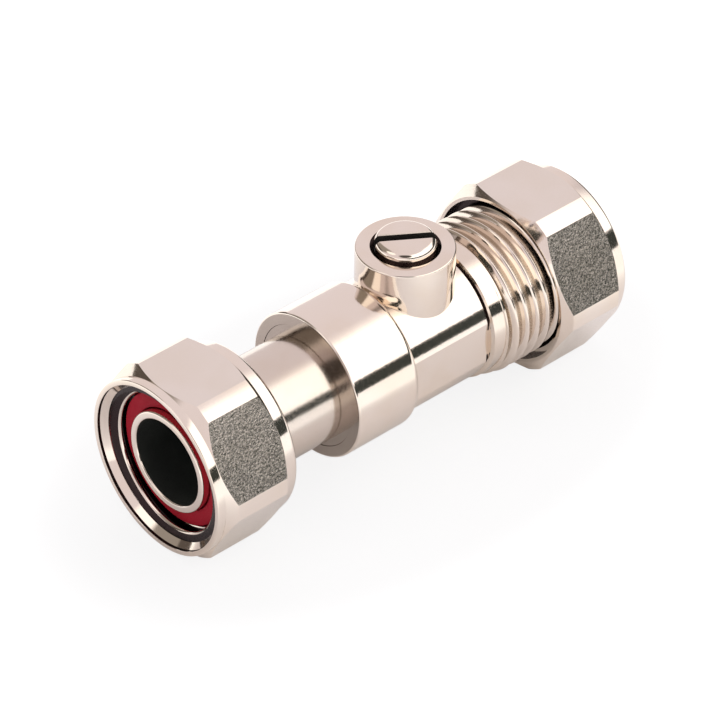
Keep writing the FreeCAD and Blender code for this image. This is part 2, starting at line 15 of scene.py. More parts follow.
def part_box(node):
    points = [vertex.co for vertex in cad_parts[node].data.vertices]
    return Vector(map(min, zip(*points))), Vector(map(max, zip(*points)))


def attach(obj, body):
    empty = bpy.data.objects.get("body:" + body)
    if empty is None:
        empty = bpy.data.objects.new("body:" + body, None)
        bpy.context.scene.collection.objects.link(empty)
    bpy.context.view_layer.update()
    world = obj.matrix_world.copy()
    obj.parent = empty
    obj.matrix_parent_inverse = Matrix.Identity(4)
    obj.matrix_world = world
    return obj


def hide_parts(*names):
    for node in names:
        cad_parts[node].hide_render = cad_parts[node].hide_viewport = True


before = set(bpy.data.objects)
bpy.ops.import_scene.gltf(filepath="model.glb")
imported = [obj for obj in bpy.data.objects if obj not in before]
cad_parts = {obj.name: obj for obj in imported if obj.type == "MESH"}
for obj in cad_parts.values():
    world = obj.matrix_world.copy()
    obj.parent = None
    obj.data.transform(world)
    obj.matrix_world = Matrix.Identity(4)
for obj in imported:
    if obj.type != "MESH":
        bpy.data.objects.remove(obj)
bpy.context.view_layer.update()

LOG = logging.getLogger("isolating_valve")

MM = 0.001
FULL_TURN = 2 * math.pi
SEGMENTS = 192
MERGE = 0.001 * MM
PLACE_MATCH = 0.01 * MM
FACING = 0.9
UPRIGHT = 0.999
CUTTER_REACH = 4.0
PIPE_CREST = 16.231 * MM

Point = tuple[float, float]
Colour = tuple[float, float, float]
Direction = tuple[float, float, float]


class Axis(Enum):
    """The two lines about which the valve's pieces are turned."""

    PIPE = (1.0, 0.0, 0.0)
    STEM = (0.0, 0.0, 1.0)


class Join(Enum):
    """How a tool solid acts on the piece that it meets."""

    ADD = "UNION"
    CUT = "DIFFERENCE"
    TRIM = "INTERSECT"


class Part(Enum):
    """What is picked on a mesh before a tool works on it."""

    EDGE = "EDGE"
    FACE = "FACE"


@dataclass(frozen=True)
class Datum:
    """Where the pipe axis and the stem axis cross, read from the frame."""

    along: float
    height: float

    @classmethod
    def from_frame(cls) -> Datum:
        """Read the stem's place along the pipe and the pipe axis's height.

        Returns:
            The datum.
        """
        tail_low, tail_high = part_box("tail_piece")
        stem_low, stem_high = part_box("stem")
        return cls((stem_low.x + stem_high.x) / 2, (tail_low.z + tail_high.z) / 2)

    @property
    def centre(self) -> Vector:
        """The ball's centre, where the two axes cross."""
        return Vector((self.along, 0.0, self.height))

    def spot(self, axis: Axis, along: float, radius: float) -> Vector:
        """Place of an outline's point.

        Args:
            axis: The line about which the outline is turned.
            along: Distance along that line, in the frame.
            radius: Distance from that line.

        Returns:
            The point, in the plane that holds both axes.
        """
        if axis is Axis.PIPE:
            return Vector((along, 0.0, self.height + radius))
        return Vector((self.along + radius, 0.0, along))

    def measure(self, axis: Axis, point: Vector) -> Point:
        """How far along an axis a point lies, and how far from it.

        Args:
            axis: The line that is measured from.
            point: A point in the frame.

        Returns:
            The distance along the axis and the distance from it.
        """
        if axis is Axis.PIPE:
            return point.x, math.hypot(point.y, point.z - self.height)
        return point.z, math.hypot(point.x - self.along, point.y)


class Bench:
    """Hand tools: each one takes a piece and works on it with Blender's own operators."""

    @staticmethod
    def take(piece: bpy.types.Object) -> None:
        """Make one piece the only selected and active one.

        Args:
            piece: The piece to work on.
        """
        bpy.ops.object.select_all(action="DESELECT")
        piece.select_set(True)
        bpy.context.view_layer.objects.active = piece

    @staticmethod
    def open_all(piece: bpy.types.Object) -> None:
        """Enter edit mode on a piece with all of it selected.

        Args:
            piece: The piece to work on.
        """
        Bench.take(piece)
        bpy.ops.object.mode_set(mode="EDIT")
        bpy.ops.mesh.select_mode(type="VERT")
        bpy.ops.mesh.select_all(action="SELECT")

    @staticmethod
    def close() -> None:
        """Go back to object mode."""
        bpy.ops.object.mode_set(mode="OBJECT")

    @staticmethod
    def pick(piece: bpy.types.Object, part: Part, test: Callable[..., bool]) -> None:
        """Enter edit mode on a piece with only those edges or faces selected that pass a test.

        Args:
            piece: The piece to work on.
            part: Whether edges or faces are picked.
            test: Tells whether one of them is picked.
        """
        Bench.open_all(piece)
        bpy.ops.mesh.select_mode(type=part.value)
        bpy.ops.mesh.select_all(action="DESELECT")
        Bench.close()
        for item in piece.data.edges if part is Part.EDGE else piece.data.polygons:
            item.select = test(item)
        bpy.ops.object.mode_set(mode="EDIT")

    @staticmethod
    def draw(name: str, points: Sequence[Vector]) -> bpy.types.Object:
        """Draw an outline by pulling one vertex from corner to corner.

        Args:
            name: Name of the new piece.
            points: The outline's corners, in order.

        Returns:
            A piece that holds only the outline's edges.
        """
        bpy.ops.object.select_all(action="DESELECT")
        bpy.ops.mesh.primitive_plane_add(size=MM, location=points[0])
        piece = bpy.context.object
        piece.name = name
        piece.data.name = name
        bpy.ops.object.transform_apply(location=True, rotation=False, scale=False)
        Bench.open_all(piece)
        bpy.ops.mesh.merge(type="CENTER")
        for here, there in zip(points, points[1:]):
            bpy.ops.mesh.extrude_region_move(TRANSFORM_OT_translate={"value": there - here})
        Bench.close()
        return piece

    @staticmethod
    def tidy(piece: bpy.types.Object) -> None:
        """Merge doubled vertices and turn every face outwards.

        Args:
            piece: The piece to work on.
        """
        Bench.open_all(piece)
        bpy.ops.mesh.remove_doubles(threshold=MERGE)
        bpy.ops.mesh.dissolve_degenerate(threshold=MERGE)
        bpy.ops.mesh.normals_make_consistent(inside=False)
        Bench.close()

    @staticmethod
    def turn(name: str, datum: Datum, axis: Axis, outline: Sequence[Point]) -> bpy.types.Object:
        """Spin a closed outline into a turned solid.

        Args:
            name: Name of the new piece.
            datum: Where the axes lie.
            axis: The line to spin about.
            outline: Corners as distance along the axis and radius.

        Returns:
            The turned piece.
        """
        corners = [datum.spot(axis, along, radius) for along, radius in outline]
        piece = Bench.draw(name, [*corners, corners[0]])
        Bench.open_all(piece)
        bpy.ops.mesh.spin(steps=SEGMENTS, angle=FULL_TURN, center=datum.centre, axis=axis.value)
        Bench.close()
        Bench.tidy(piece)
        return piece

    @staticmethod
    def soften(piece: bpy.types.Object, datum: Datum, axis: Axis, rings: Sequence[Point],
               width: float, steps: int = 8) -> None:
        """Round turned edges.

        Args:
            piece: The piece to work on.
            datum: Where the axes lie.
            axis: The line about which the edges run.
            rings: Place along the axis and radius of each edge.
            width: Width of the rounding.
            steps: Number of faces across it.
        """
        def on_ring(edge: bpy.types.MeshEdge) -> bool:
            """Whether both ends of an edge lie on the same ring."""
            ends = [datum.measure(axis, piece.data.vertices[index].co) for index in edge.vertices]
            return any(all(abs(along - place) < PLACE_MATCH and abs(radius - reach) < PLACE_MATCH
                           for along, radius in ends) for place, reach in rings)

        Bench.pick(piece, Part.EDGE, on_ring)
        bpy.ops.mesh.bevel(offset=width, segments=steps, affect="EDGES", clamp_overlap=False)
        Bench.close()

    @staticmethod
    def saw(piece: bpy.types.Object, point: Vector, normal: Vector) -> None:
        """Cut off all that lies past a plane, and close the cut.

        Args:
            piece: The piece to work on.
            point: A point of the plane.
            normal: Direction of the waste side.
        """
        Bench.open_all(piece)
        bpy.ops.mesh.bisect(plane_co=point, plane_no=normal, use_fill=True, clear_outer=True,
                            threshold=MERGE)
        Bench.close()

    @staticmethod
    def combine(piece: bpy.types.Object, tool: bpy.types.Object, how: Join) -> None:
        """Add a tool solid to a piece, cut it out or trim the piece to it, and use the tool up.

        Args:
            piece: The piece to work on.
            tool: The other solid.
            how: Whether it is added, cut out or trims the piece.
        """
        Bench.take(piece)
        bpy.ops.object.modifier_add(type="BOOLEAN")
        modifier = piece.modifiers[-1]
        modifier.operation = how.value
        modifier.solver = "EXACT"
        modifier.object = tool
        bpy.ops.object.modifier_apply(modifier=modifier.name)
        bpy.data.objects.remove(tool)
        Bench.tidy(piece)

    @staticmethod
    def block(name: str, centre: Vector, size: Vector, turn: float = 0.0) -> bpy.types.Object:
        """Make a straight-sided cutter.

        Args:
            name: Name of the new piece.
            centre: Its middle.
            size: Its whole length, width and height.
            turn: Its turn about the vertical, in radians.

        Returns:
            The cutter.
        """
        bpy.ops.object.select_all(action="DESELECT")
        bpy.ops.mesh.primitive_cube_add(size=1.0, location=centre, rotation=(0.0, 0.0, turn))
        tool = bpy.context.object
        tool.name = name
        tool.scale = size
        bpy.ops.object.transform_apply(location=True, rotation=True, scale=True)
        return tool

    @staticmethod
    def paint(piece: bpy.types.Object, materials: Sequence[bpy.types.Material],
              choose: Callable[[bpy.types.MeshPolygon], bpy.types.Material] | None = None) -> None:
        """Give a piece its materials, face by face.

        Args:
            piece: The piece to dress.
            materials: The materials that it shows.
            choose: Gives a face's material. Without it, all faces show the first one.
        """
        piece.data.materials.clear()
        for material in materials:
            piece.data.materials.append(material)
        for face in piece.data.polygons:
            face.material_index = materials.index(choose(face)) if choose else 0

    @staticmethod
    def smooth(piece: bpy.types.Object, limit: Callable[[Vector], float]) -> None:
        """Shade a piece smooth, with a sharp line wherever its faces meet at more than a limit.

        Args:
            piece: The piece to shade.
            limit: Gives the limit, in degrees, at a place on the piece.
        """
        Bench.take(piece)
        bpy.ops.object.shade_smooth()
        mesh = piece.data
        sides: dict[tuple[int, int], list[Vector]] = {}
        for face in mesh.polygons:
            for key in face.edge_keys:
                sides.setdefault(key, []).append(face.normal)
        for edge in mesh.edges:
            first, second = edge.key
            middle = (mesh.vertices[first].co + mesh.vertices[second].co) / 2
            turn = math.degrees(sides[edge.key][0].angle(sides[edge.key][-1], 0.0))
            edge.use_edge_sharp = turn > limit(middle)
        bpy.ops.object.modifier_add(type="WEIGHTED_NORMAL")
        modifier = piece.modifiers[-1]
        modifier.keep_sharp = True
        bpy.ops.object.modifier_apply(modifier=modifier.name)


@dataclass(frozen=True)
class PipeThread:
    """Rounded pipe thread: a wave along the axis, wound into a right-hand helix."""

    pitch: float = 1.814 * MM
    depth: float = 1.16 * MM
    points: int = 28
    run_in: int = 2

    def screw(self, name: str, datum: Datum, start: float, end: float, crest_place: float,
              crest: float) -> bpy.types.Object:
        """Make a screw-shaped solid, to be added as a thread or cut as one.

        Args:
            name: Name of the new piece.
            datum: Where the pipe axis lies.
            start: Front end along the pipe axis.
            end: Rear end along the pipe axis.
            crest_place: Where a crest passes the top of the screw.
            crest: Radius of the crests.

        Returns:
            The screw, sawn square at both ends.
        """
        middle = crest - self.depth / 2
        step = self.pitch / self.points
        first = start - self.run_in * self.pitch
        count = math.ceil((end - start + (self.run_in + 1) * self.pitch) / step)
        wave = []
        for number in range(count + 1):
            along = first + number * step
            swing = math.cos(FULL_TURN * (along - crest_place) / self.pitch)
            wave.append(Vector((along, 0.0, middle + self.depth / 2 * swing)))
        piece = Bench.draw(name, wave)
        Bench.take(piece)
        bpy.ops.object.modifier_add(type="SCREW")
        winding = piece.modifiers[-1]
        winding.axis = "X"
        winding.angle = FULL_TURN
        winding.screw_offset = self.pitch
        winding.steps = SEGMENTS
        winding.render_steps = SEGMENTS
        bpy.ops.object.modifier_apply(modifier=winding.name)
        piece.location.z = datum.height
        bpy.ops.object.transform_apply(location=True, rotation=False, scale=False)
        Bench.tidy(piece)
        Bench.saw(piece, Vector((start, 0.0, datum.height)), Vector((-1.0, 0.0, 0.0)))
        Bench.saw(piece, Vector((end, 0.0, datum.height)), Vector((1.0, 0.0, 0.0)))
        Bench.tidy(piece)
        return piece


class NodeSheet:
    """Short ways to place and wire the nodes of one material, group or world."""

    def __init__(self, tree: bpy.types.NodeTree) -> None:
        """Start on a node tree."""
        self.tree = tree

    def add(self, kind: str, **settings: object) -> bpy.types.Node:
        """Place a node.

        Args:
            kind: The node's type name.
            settings: Properties to set on it.

        Returns:
            The new node.
        """
        node = self.tree.nodes.new(kind)
        for key, setting in settings.items():
            setattr(node, key, setting)
        return node

    def wire(self, source: bpy.types.NodeSocket, target: bpy.types.NodeSocket) -> None:
        """Link an output to an input."""
        self.tree.links.new(source, target)

    def maths(self, operation: str, first: object, second: object = 0.0) -> bpy.types.NodeSocket:
        """Place a Math node.

        Args:
            operation: What it does.
            first: Socket or number.
            second: Socket or number.

        Returns:
            Its output.
        """
        node = self.add("ShaderNodeMath", operation=operation)
        for socket, source in zip(node.inputs, (first, second)):
            if isinstance(source, bpy.types.NodeSocket):
                self.wire(source, socket)
            else:
                socket.default_value = source
        return node.outputs[0]

    def ramp(self, source: bpy.types.NodeSocket, low: float, high: float, start: float = 0.0,
             end: float = 1.0) -> bpy.types.NodeSocket:
        """Place a smooth Map Range node.

        Args:
            source: The value to map.
            low: Value that gives the start.
            high: Value that gives the end.
            start: Output at low.
            end: Output at high.

        Returns:
            Its output.
        """
        node = self.add("ShaderNodeMapRange", interpolation_type="SMOOTHSTEP")
        self.wire(source, node.inputs["Value"])
        for key, number in (("From Min", low), ("From Max", high), ("To Min", start), ("To Max", end)):
            node.inputs[key].default_value = number
        return node.outputs["Result"]

    def blend(self, mask: bpy.types.NodeSocket, first: object, second: object) -> bpy.types.NodeSocket:
        """Place a colour Mix node.

        Args:
            mask: Share of the second colour.
            first: Socket or colour.
            second: Socket or colour.

        Returns:
            The mixed colour.
        """
        node = self.add("ShaderNodeMix", data_type="RGBA")
        self.wire(mask, node.inputs["Factor"])
        for socket, source in ((node.inputs[6], first), (node.inputs[7], second)):
            if isinstance(source, bpy.types.NodeSocket):
                self.wire(source, socket)
            else:
                socket.default_value = (*source, 1.0)
        return node.outputs[2]

    def facing(self, direction: bpy.types.NodeSocket, toward: Sequence[float],
               limits: Point) -> bpy.types.NodeSocket:
        """Place the nodes that find how nearly a direction points one way.

        Args:
            direction: The direction that is looked in.
            toward: The way to compare it with.
            limits: Cosines of the angles at which the mask starts and is whole.

        Returns:
            A mask: one near that way, none away from it.
        """
        node = self.add("ShaderNodeVectorMath", operation="DOT_PRODUCT")
        node.inputs[1].default_value = toward
        self.wire(direction, node.inputs[0])
        return self.ramp(node.outputs["Value"], *limits)


class Effects:
    """Shader node groups that several finishes share."""

    grain_detail: ClassVar[float] = 3.0
    grain_roughness: ClassVar[float] = 0.65
    cell_share: ClassVar[float] = 0.5
    sparkle_limits: ClassVar[Point] = (0.35, 0.7)
    ring_detail: ClassVar[float] = 2.0
    cloud_detail: ClassVar[float] = 4.0
    cloud_limits: ClassVar[Point] = (0.38, 0.68)

    def __init__(self) -> None:
        """Build each group once."""
        self.grain = self._make_grain()
        self.turning = self._make_turning()
        self.tarnish = self._make_tarnish()

    @staticmethod
    def _start(name: str, inputs: Sequence[tuple[str, str]],
               outputs: Sequence[str]) -> tuple[bpy.types.NodeTree, bpy.types.Node, bpy.types.Node]:
        """Make an empty group.

        Args:
            name: The group's name.
            inputs: Name and socket type of each input.
            outputs: Name of each value that it puts out.

        Returns:
            The group's tree, its input node and its output node.
        """
        tree = bpy.data.node_groups.new(name, "ShaderNodeTree")
        for label, kind in inputs:
            tree.interface.new_socket(name=label, in_out="INPUT", socket_type=kind)
        for label in outputs:
            tree.interface.new_socket(name=label, in_out="OUTPUT", socket_type="NodeSocketFloat")
        return tree, tree.nodes.new("NodeGroupInput"), tree.nodes.new("NodeGroupOutput")

    @classmethod
    def _make_grain(cls) -> bpy.types.NodeTree:
        """Make fine pits and the sparkle of a blasted or plated surface.

        Returns:
            The group.
        """
        tree, entry, out = cls._start(
            "surface_grain", [("Vector", "NodeSocketVector"), ("Scale", "NodeSocketFloat")],
            ["Height", "Sparkle"])
        sheet = NodeSheet(tree)
        coarse = sheet.add("ShaderNodeTexNoise")
        coarse.inputs["Detail"].default_value = cls.grain_detail
        coarse.inputs["Roughness"].default_value = cls.grain_roughness
        cells = sheet.add("ShaderNodeTexVoronoi", feature="F1")
        for node in (coarse, cells):
            sheet.wire(entry.outputs["Vector"], node.inputs["Vector"])
            sheet.wire(entry.outputs["Scale"], node.inputs["Scale"])
        pits = sheet.maths("MULTIPLY", cells.outputs["Distance"], cls.cell_share)
        sheet.wire(sheet.maths("ADD", coarse.outputs["Fac"], pits), out.inputs["Height"])
        sheet.wire(sheet.ramp(coarse.outputs["Fac"], *cls.sparkle_limits), out.inputs["Sparkle"])
        return tree

    @classmethod
    def _make_turning(cls) -> bpy.types.NodeTree:
        """Make the fine rings that a lathe tool leaves about the pipe axis.

        Returns:
            The group.
        """
        tree, entry, out = cls._start(
            "turning_rings", [("Vector", "NodeSocketVector"), ("Rings", "NodeSocketFloat")], ["Height"])
        sheet = NodeSheet(tree)
        parts = sheet.add("ShaderNodeSeparateXYZ")
        sheet.wire(entry.outputs["Vector"], parts.inputs["Vector"])
        rings = sheet.add("ShaderNodeTexNoise", noise_dimensions="1D")
        rings.inputs["Detail"].default_value = cls.ring_detail
        sheet.wire(parts.outputs["X"], rings.inputs["W"])
        sheet.wire(entry.outputs["Rings"], rings.inputs["Scale"])
        sheet.wire(rings.outputs["Fac"], out.inputs["Height"])
        return tree

    @classmethod
    def _make_tarnish(cls) -> bpy.types.NodeTree:
        """Make the broad uneven warmth of a plated or bare metal skin.

        Returns:
            The group.
        """
        tree, entry, out = cls._start(
            "tarnish", [("Vector", "NodeSocketVector"), ("Scale", "NodeSocketFloat")], ["Mask"])
        sheet = NodeSheet(tree)
        clouds = sheet.add("ShaderNodeTexNoise")
        clouds.inputs["Detail"].default_value = cls.cloud_detail
        sheet.wire(entry.outputs["Vector"], clouds.inputs["Vector"])
        sheet.wire(entry.outputs["Scale"], clouds.inputs["Scale"])
        sheet.wire(sheet.ramp(clouds.outputs["Fac"], *cls.cloud_limits), out.inputs["Mask"])
        return tree


@dataclass(frozen=True)
class Finish:
    """A surface: two tints that drift into each other, its gloss and the relief of its skin."""

    name: str
    tint: Colour
    drift: Colour
    gloss: Point
    metal: float = 1.0
    drift_scale: float = 120.0
    grain_scale: float = 4000.0
    grain_height: float = 0.001 * MM
    wave_scale: float = 900.0
    wave_height: float = 0.0
    ring_scale: float = 6000.0
    ring_height: float = 0.0
    specular: float = 0.5

    def material(self, effects: Effects) -> bpy.types.Material:
        """Build the finish as a procedural material.

        Args:
            effects: The shared node groups.

        Returns:
            The material.
        """
        material = bpy.data.materials.new(self.name)
        material.use_nodes = True
        sheet = NodeSheet(material.node_tree)
        skin = material.node_tree.nodes["Principled BSDF"]
        skin.inputs["Metallic"].default_value = self.metal
        skin.inputs["Specular IOR Level"].default_value = self.specular
        place = sheet.add("ShaderNodeTexCoord").outputs["Object"]
        tarnish = self._effect(sheet, effects.tarnish, place, "Scale", self.drift_scale)
        grain = self._effect(sheet, effects.grain, place, "Scale", self.grain_scale)
        sheet.wire(sheet.blend(tarnish.outputs["Mask"], self.tint, self.drift), skin.inputs["Base Color"])
        low, high = self.gloss
        sheet.wire(sheet.ramp(grain.outputs["Sparkle"], 0.0, 1.0, low, high), skin.inputs["Roughness"])
        height = sheet.maths("MULTIPLY", grain.outputs["Height"], self.grain_height)
        if self.wave_height:
            waves = self._effect(sheet, effects.grain, place, "Scale", self.wave_scale)
            swell = sheet.maths("MULTIPLY", waves.outputs["Height"], self.wave_height)
            height = sheet.maths("ADD", height, swell)
        if self.ring_height:
            turning = self._effect(sheet, effects.turning, place, "Rings", self.ring_scale)
            rings = sheet.maths("MULTIPLY", turning.outputs["Height"], self.ring_height)
            height = sheet.maths("ADD", height, rings)
        bump = sheet.add("ShaderNodeBump")
        bump.inputs["Distance"].default_value = 1.0
        sheet.wire(height, bump.inputs["Height"])
        sheet.wire(bump.outputs["Normal"], skin.inputs["Normal"])
        return material

    @staticmethod
    def _effect(sheet: NodeSheet, tree: bpy.types.NodeTree, place: bpy.types.NodeSocket, key: str,
                number: float) -> bpy.types.Node:
        """Place a shared group with its own value.

        Args:
            sheet: The material's nodes.
            tree: The group.
            place: The coordinates that it reads.
            key: Name of the input to set.
            number: The input's value.

        Returns:
            The group's node.
        """
        node = sheet.add("ShaderNodeGroup", node_tree=tree)
        sheet.wire(place, node.inputs["Vector"])
        node.inputs[key].default_value = number
        return node


class Finishes:
    """Every material of the valve."""

    def __init__(self) -> None:
        """Build the materials from their finishes."""
        effects = Effects()
        nickel: Colour = (0.80, 0.71, 0.63)
        warm_nickel: Colour = (0.78, 0.675, 0.575)
        self.turned = Finish("nickel_turned", nickel, warm_nickel, (0.07, 0.12),
                             ring_height=0.0004 * MM).material(effects)
        self.satin = Finish("nickel_satin", (0.68, 0.60, 0.535), (0.66, 0.57, 0.49), (0.14, 0.21),
                            ring_height=0.0004 * MM).material(effects)
        self.forged = Finish("nickel_forged", nickel, warm_nickel, (0.08, 0.12),
                             wave_height=0.003 * MM).material(effects)
        # painted shade: a darker tint for the roots of the body's pipe thread, standing in for the shade
        # that gathers there
        self.painted_root_shade = Finish("painted_root_shade", (0.55, 0.46, 0.375), (0.44, 0.36, 0.285),
                                  (0.2, 0.32)).material(effects)
        # painted shade: a rougher tint whose darkness stands in for the neck's shadow and the dark
        # reflections on the collar's front face and the tail root's face
        self.dull_painted_shade_face = Finish("dull_painted_shade_face", (0.50, 0.43, 0.375), (0.44, 0.37, 0.315),
                                (0.14, 0.20)).material(effects)
        # painted shade: a near-black tint for the nuts' mouth walls, the deep grooves of their threads,
        # the body's waist groove and the stem hole's bevel
        self.shaded = Finish("shaded_mouth", (0.036, 0.025, 0.025), (0.027, 0.019, 0.019),
                             (0.2, 0.32)).material(effects)
        self.milled = Finish("nickel_milled_flats", (0.79, 0.715, 0.645), (0.77, 0.69, 0.61), (0.15, 0.24),
                             grain_scale=3400.0, grain_height=0.0095 * MM).material(effects)
        # painted shade: a near-black tint on the walls and floor of the stem's driver slot, where shade
        # falls
        self.slot_painted_shade = Finish("painted_slot_shade", (0.022, 0.02, 0.018), (0.04, 0.035, 0.03), (0.5, 0.7),
                            metal=0.3).material(effects)
        # painted shade: a near-black tint inside the tail's bore, where shade falls
        self.painted_bore_shade = Finish("painted_bore_shade", (0.058, 0.064, 0.058), (0.038, 0.043, 0.039), (0.45, 0.65),
                                metal=0.6).material(effects)
        self.fibre = Finish("red_fibre", (0.40, 0.013, 0.03), (0.31, 0.01, 0.02), (0.5, 0.75), metal=0.0,
                            grain_scale=5000.0, grain_height=0.02 * MM, specular=0.12).material(effects)
        self.brass = Finish("bare_brass", (0.80, 0.60, 0.27), (0.70, 0.49, 0.20), (0.16, 0.3),
                            ring_height=0.001 * MM).material(effects)
        self.ball_plate = Finish("ball_plate", (0.72, 0.72, 0.72), (0.66, 0.66, 0.67),
                                 (0.06, 0.1)).material(effects)
        self.seat_white = Finish("seat_white", (0.86, 0.86, 0.83), (0.80, 0.80, 0.77), (0.35, 0.5),
                                 metal=0.0).material(effects)
        self.rubber = Finish("seal_rubber", (0.02, 0.02, 0.02), (0.03, 0.03, 0.03), (0.45, 0.65),
                             metal=0.0).material(effects)


@dataclass
class ValvePiece:
    """A visible piece of the valve, which stands for one node of the frame."""

    datum: Datum
    finishes: Finishes

    node: ClassVar[str]
    body: ClassVar[str]
    slot: ClassVar[str] = "nickel_plate"
    edge_limit: ClassVar[float] = 15.0
    thread_limit: ClassVar[float] = 50.0

    def build(self) -> bpy.types.Object:
        """Make the mesh."""
        raise NotImplementedError

    def dress(self, piece: bpy.types.Object) -> None:
        """Give the mesh its materials."""
        raise NotImplementedError

    def span(self) -> Point:
        """Front and rear end of the node along the pipe axis."""
        low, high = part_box(self.node)
        return low.x, high.x

    def is_thread(self, point: Vector) -> bool:
        """Whether a place on the piece lies on its thread."""
        return False

    def sharpness(self, point: Vector) -> float:
        """Angle in degrees at which an edge shows as a sharp line, which is wider on a thread."""
        return self.thread_limit if self.is_thread(point) else self.edge_limit

    def install(self) -> bpy.types.Object:
        """Build and dress the piece, and set it in the frame.

        Returns:
            The finished piece.
        """
        piece = self.build()
        self.dress(piece)
        Bench.smooth(piece, self.sharpness)
        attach(piece, self.body)
        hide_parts(self.node)
        LOG.info("%s: %d faces", piece.name, len(piece.data.polygons))
        return piece


@dataclass
class HexNut(ValvePiece):
    """What both nuts share: turned ends, six milled flats and a rounded back edge."""

    half: float = 12.0 * MM
    corner: float = 13.2 * MM
    band: float = 11.95 * MM
    back: float = 11.5 * MM
    back_band: float = 2.2 * MM
    back_bevel: float = 1.05 * MM
    back_round: float = 0.7 * MM
    flats: int = 6
    first_flat: float = 90.0
    thread_major: float = 10.5 * MM
    relief_rise: float = 0.06 * MM
    mouth_rise: float = 0.8 * MM
    mouth_wall: float = 0.5 * MM
    dark_share: float = 0.75
    thread: PipeThread = PipeThread()

    @property
    def mouth(self) -> float:
        """Radius of the nut's mouth."""
        return self.thread_major + self.mouth_rise

    @property
    def minor(self) -> float:
        """Radius of the thread's crests, inside the nut."""
        return self.thread_major - self.thread.depth

    @property
    def bottom(self) -> float:
        """Radius of the relief behind the thread."""
        return self.thread_major + self.relief_rise

    def is_thread(self, point: Vector) -> bool:
        """Whether a place lies between the thread's crests and roots, inside the nut."""
        radius = self.datum.measure(Axis.PIPE, point)[1]
        return self.minor + PLACE_MATCH < radius < self.thread_major - PLACE_MATCH

    def back_outline(self, rear: float) -> list[Point]:
        """Corners of the turned back end, from the hexagon to the rear face.

        Args:
            rear: Where the nut ends along the pipe axis.

        Returns:
            The outline's corners.
        """
        return [
            (rear - self.back_band - self.back_bevel, self.corner),
            (rear - self.back_band, self.band),
            (rear, self.back),
        ]

    def mill_flats(self, piece: bpy.types.Object) -> None:
        """Saw the flats, the first one facing straight up.

        Args:
            piece: The nut.
        """
        for number in range(self.flats):
            angle = math.radians(self.first_flat + 360.0 / self.flats * number)
            normal = Vector((0.0, math.cos(angle), math.sin(angle)))
            Bench.saw(piece, self.datum.centre + normal * self.half, normal)

    def is_flat(self, face: bpy.types.MeshPolygon) -> bool:
        """Whether a face is one of the milled flats.

        Args:
            face: A face of the nut.

        Returns:
            True where it lies on a flat.
        """
        outward = face.normal.copy()
        outward.x = 0.0
        reach = (face.center - self.datum.centre).dot(face.normal)
        return outward.length > UPRIGHT and abs(reach - self.half) < PLACE_MATCH

    def dress(self, piece: bpy.types.Object) -> None:
        """Polish the turned ends, grain the milled flats and paint shade, as a near-black tint, into the
        thread's deep grooves and onto the mouth's wall.

        Args:
            piece: The nut.
        """
        front = self.span()[0]
        turned, milled, shaded = self.finishes.turned, self.finishes.milled, self.finishes.shaded

        def skin(face: bpy.types.MeshPolygon) -> bpy.types.Material:
            """Choose a face's material."""
            if self.is_flat(face):
                return milled
            along, radius = self.datum.measure(Axis.PIPE, face.center)
            # painted shade: deep thread grooves and the mouth's wall get the near-black tint
            deep = radius > self.thread_major - self.dark_share * self.thread.depth
            on_wall = abs(radius - self.mouth) < PLACE_MATCH and along < front + self.mouth_wall
            return shaded if on_wall or (deep and self.is_thread(face.center)) else turned

        Bench.paint(piece, [turned, milled, shaded], skin)


@dataclass
class SwivelNut(HexNut):
    """Nut that spins on the tail and screws onto a tap."""

    front_band: float = 1.2 * MM
    front_bevel: float = 1.02 * MM
    front_round: float = 0.15 * MM
    thread_major: float = 10.48 * MM
    mouth_rise: float = 0.77 * MM
    mouth_wall: float = 0.45 * MM
    mouth_cone: float = 0.75 * MM
    mouth_round: float = 0.08 * MM
    mouth_steps: int = 4
    relief: float = 1.9 * MM
    lip: float = 2.55 * MM
    hole: float = 8.5 * MM

    node: ClassVar[str] = "swivel_nut"
    body: ClassVar[str] = "swivel_nut"

    def build(self) -> bpy.types.Object:
        """Turn the nut, mill its flats and cut its thread.

        Returns:
            The nut.
        """
        front, rear = self.span()
        shelf = rear - self.lip
        throat = front + self.mouth_wall + self.mouth_cone
        outline = [
            (front, self.mouth),
            (front, self.band),
            (front + self.front_band, self.band),
            (front + self.front_band + self.front_bevel, self.corner),
            *self.back_outline(rear),
            (rear, self.hole),
            (shelf, self.hole),
            (shelf, self.bottom),
            (shelf - self.relief, self.bottom),
            (shelf - self.relief, self.minor),
            (throat, self.minor),
            (throat, self.bottom),
            (front + self.mouth_wall, self.mouth),
        ]
        piece = Bench.turn("swivel_nut_turned", self.datum, Axis.PIPE, outline)
        Bench.soften(piece, self.datum, Axis.PIPE, [(rear, self.back)], self.back_round)
        Bench.soften(piece, self.datum, Axis.PIPE, [(front, self.band)], self.front_round)
        Bench.soften(piece, self.datum, Axis.PIPE, [(front, self.mouth)], self.mouth_round,
                     self.mouth_steps)
        self.mill_flats(piece)
        tap = self.thread.screw("swivel_tap", self.datum, front - MM, shelf - self.relief / 2, front,
                                self.thread_major)
        Bench.combine(piece, tap, Join.CUT)
        return piece


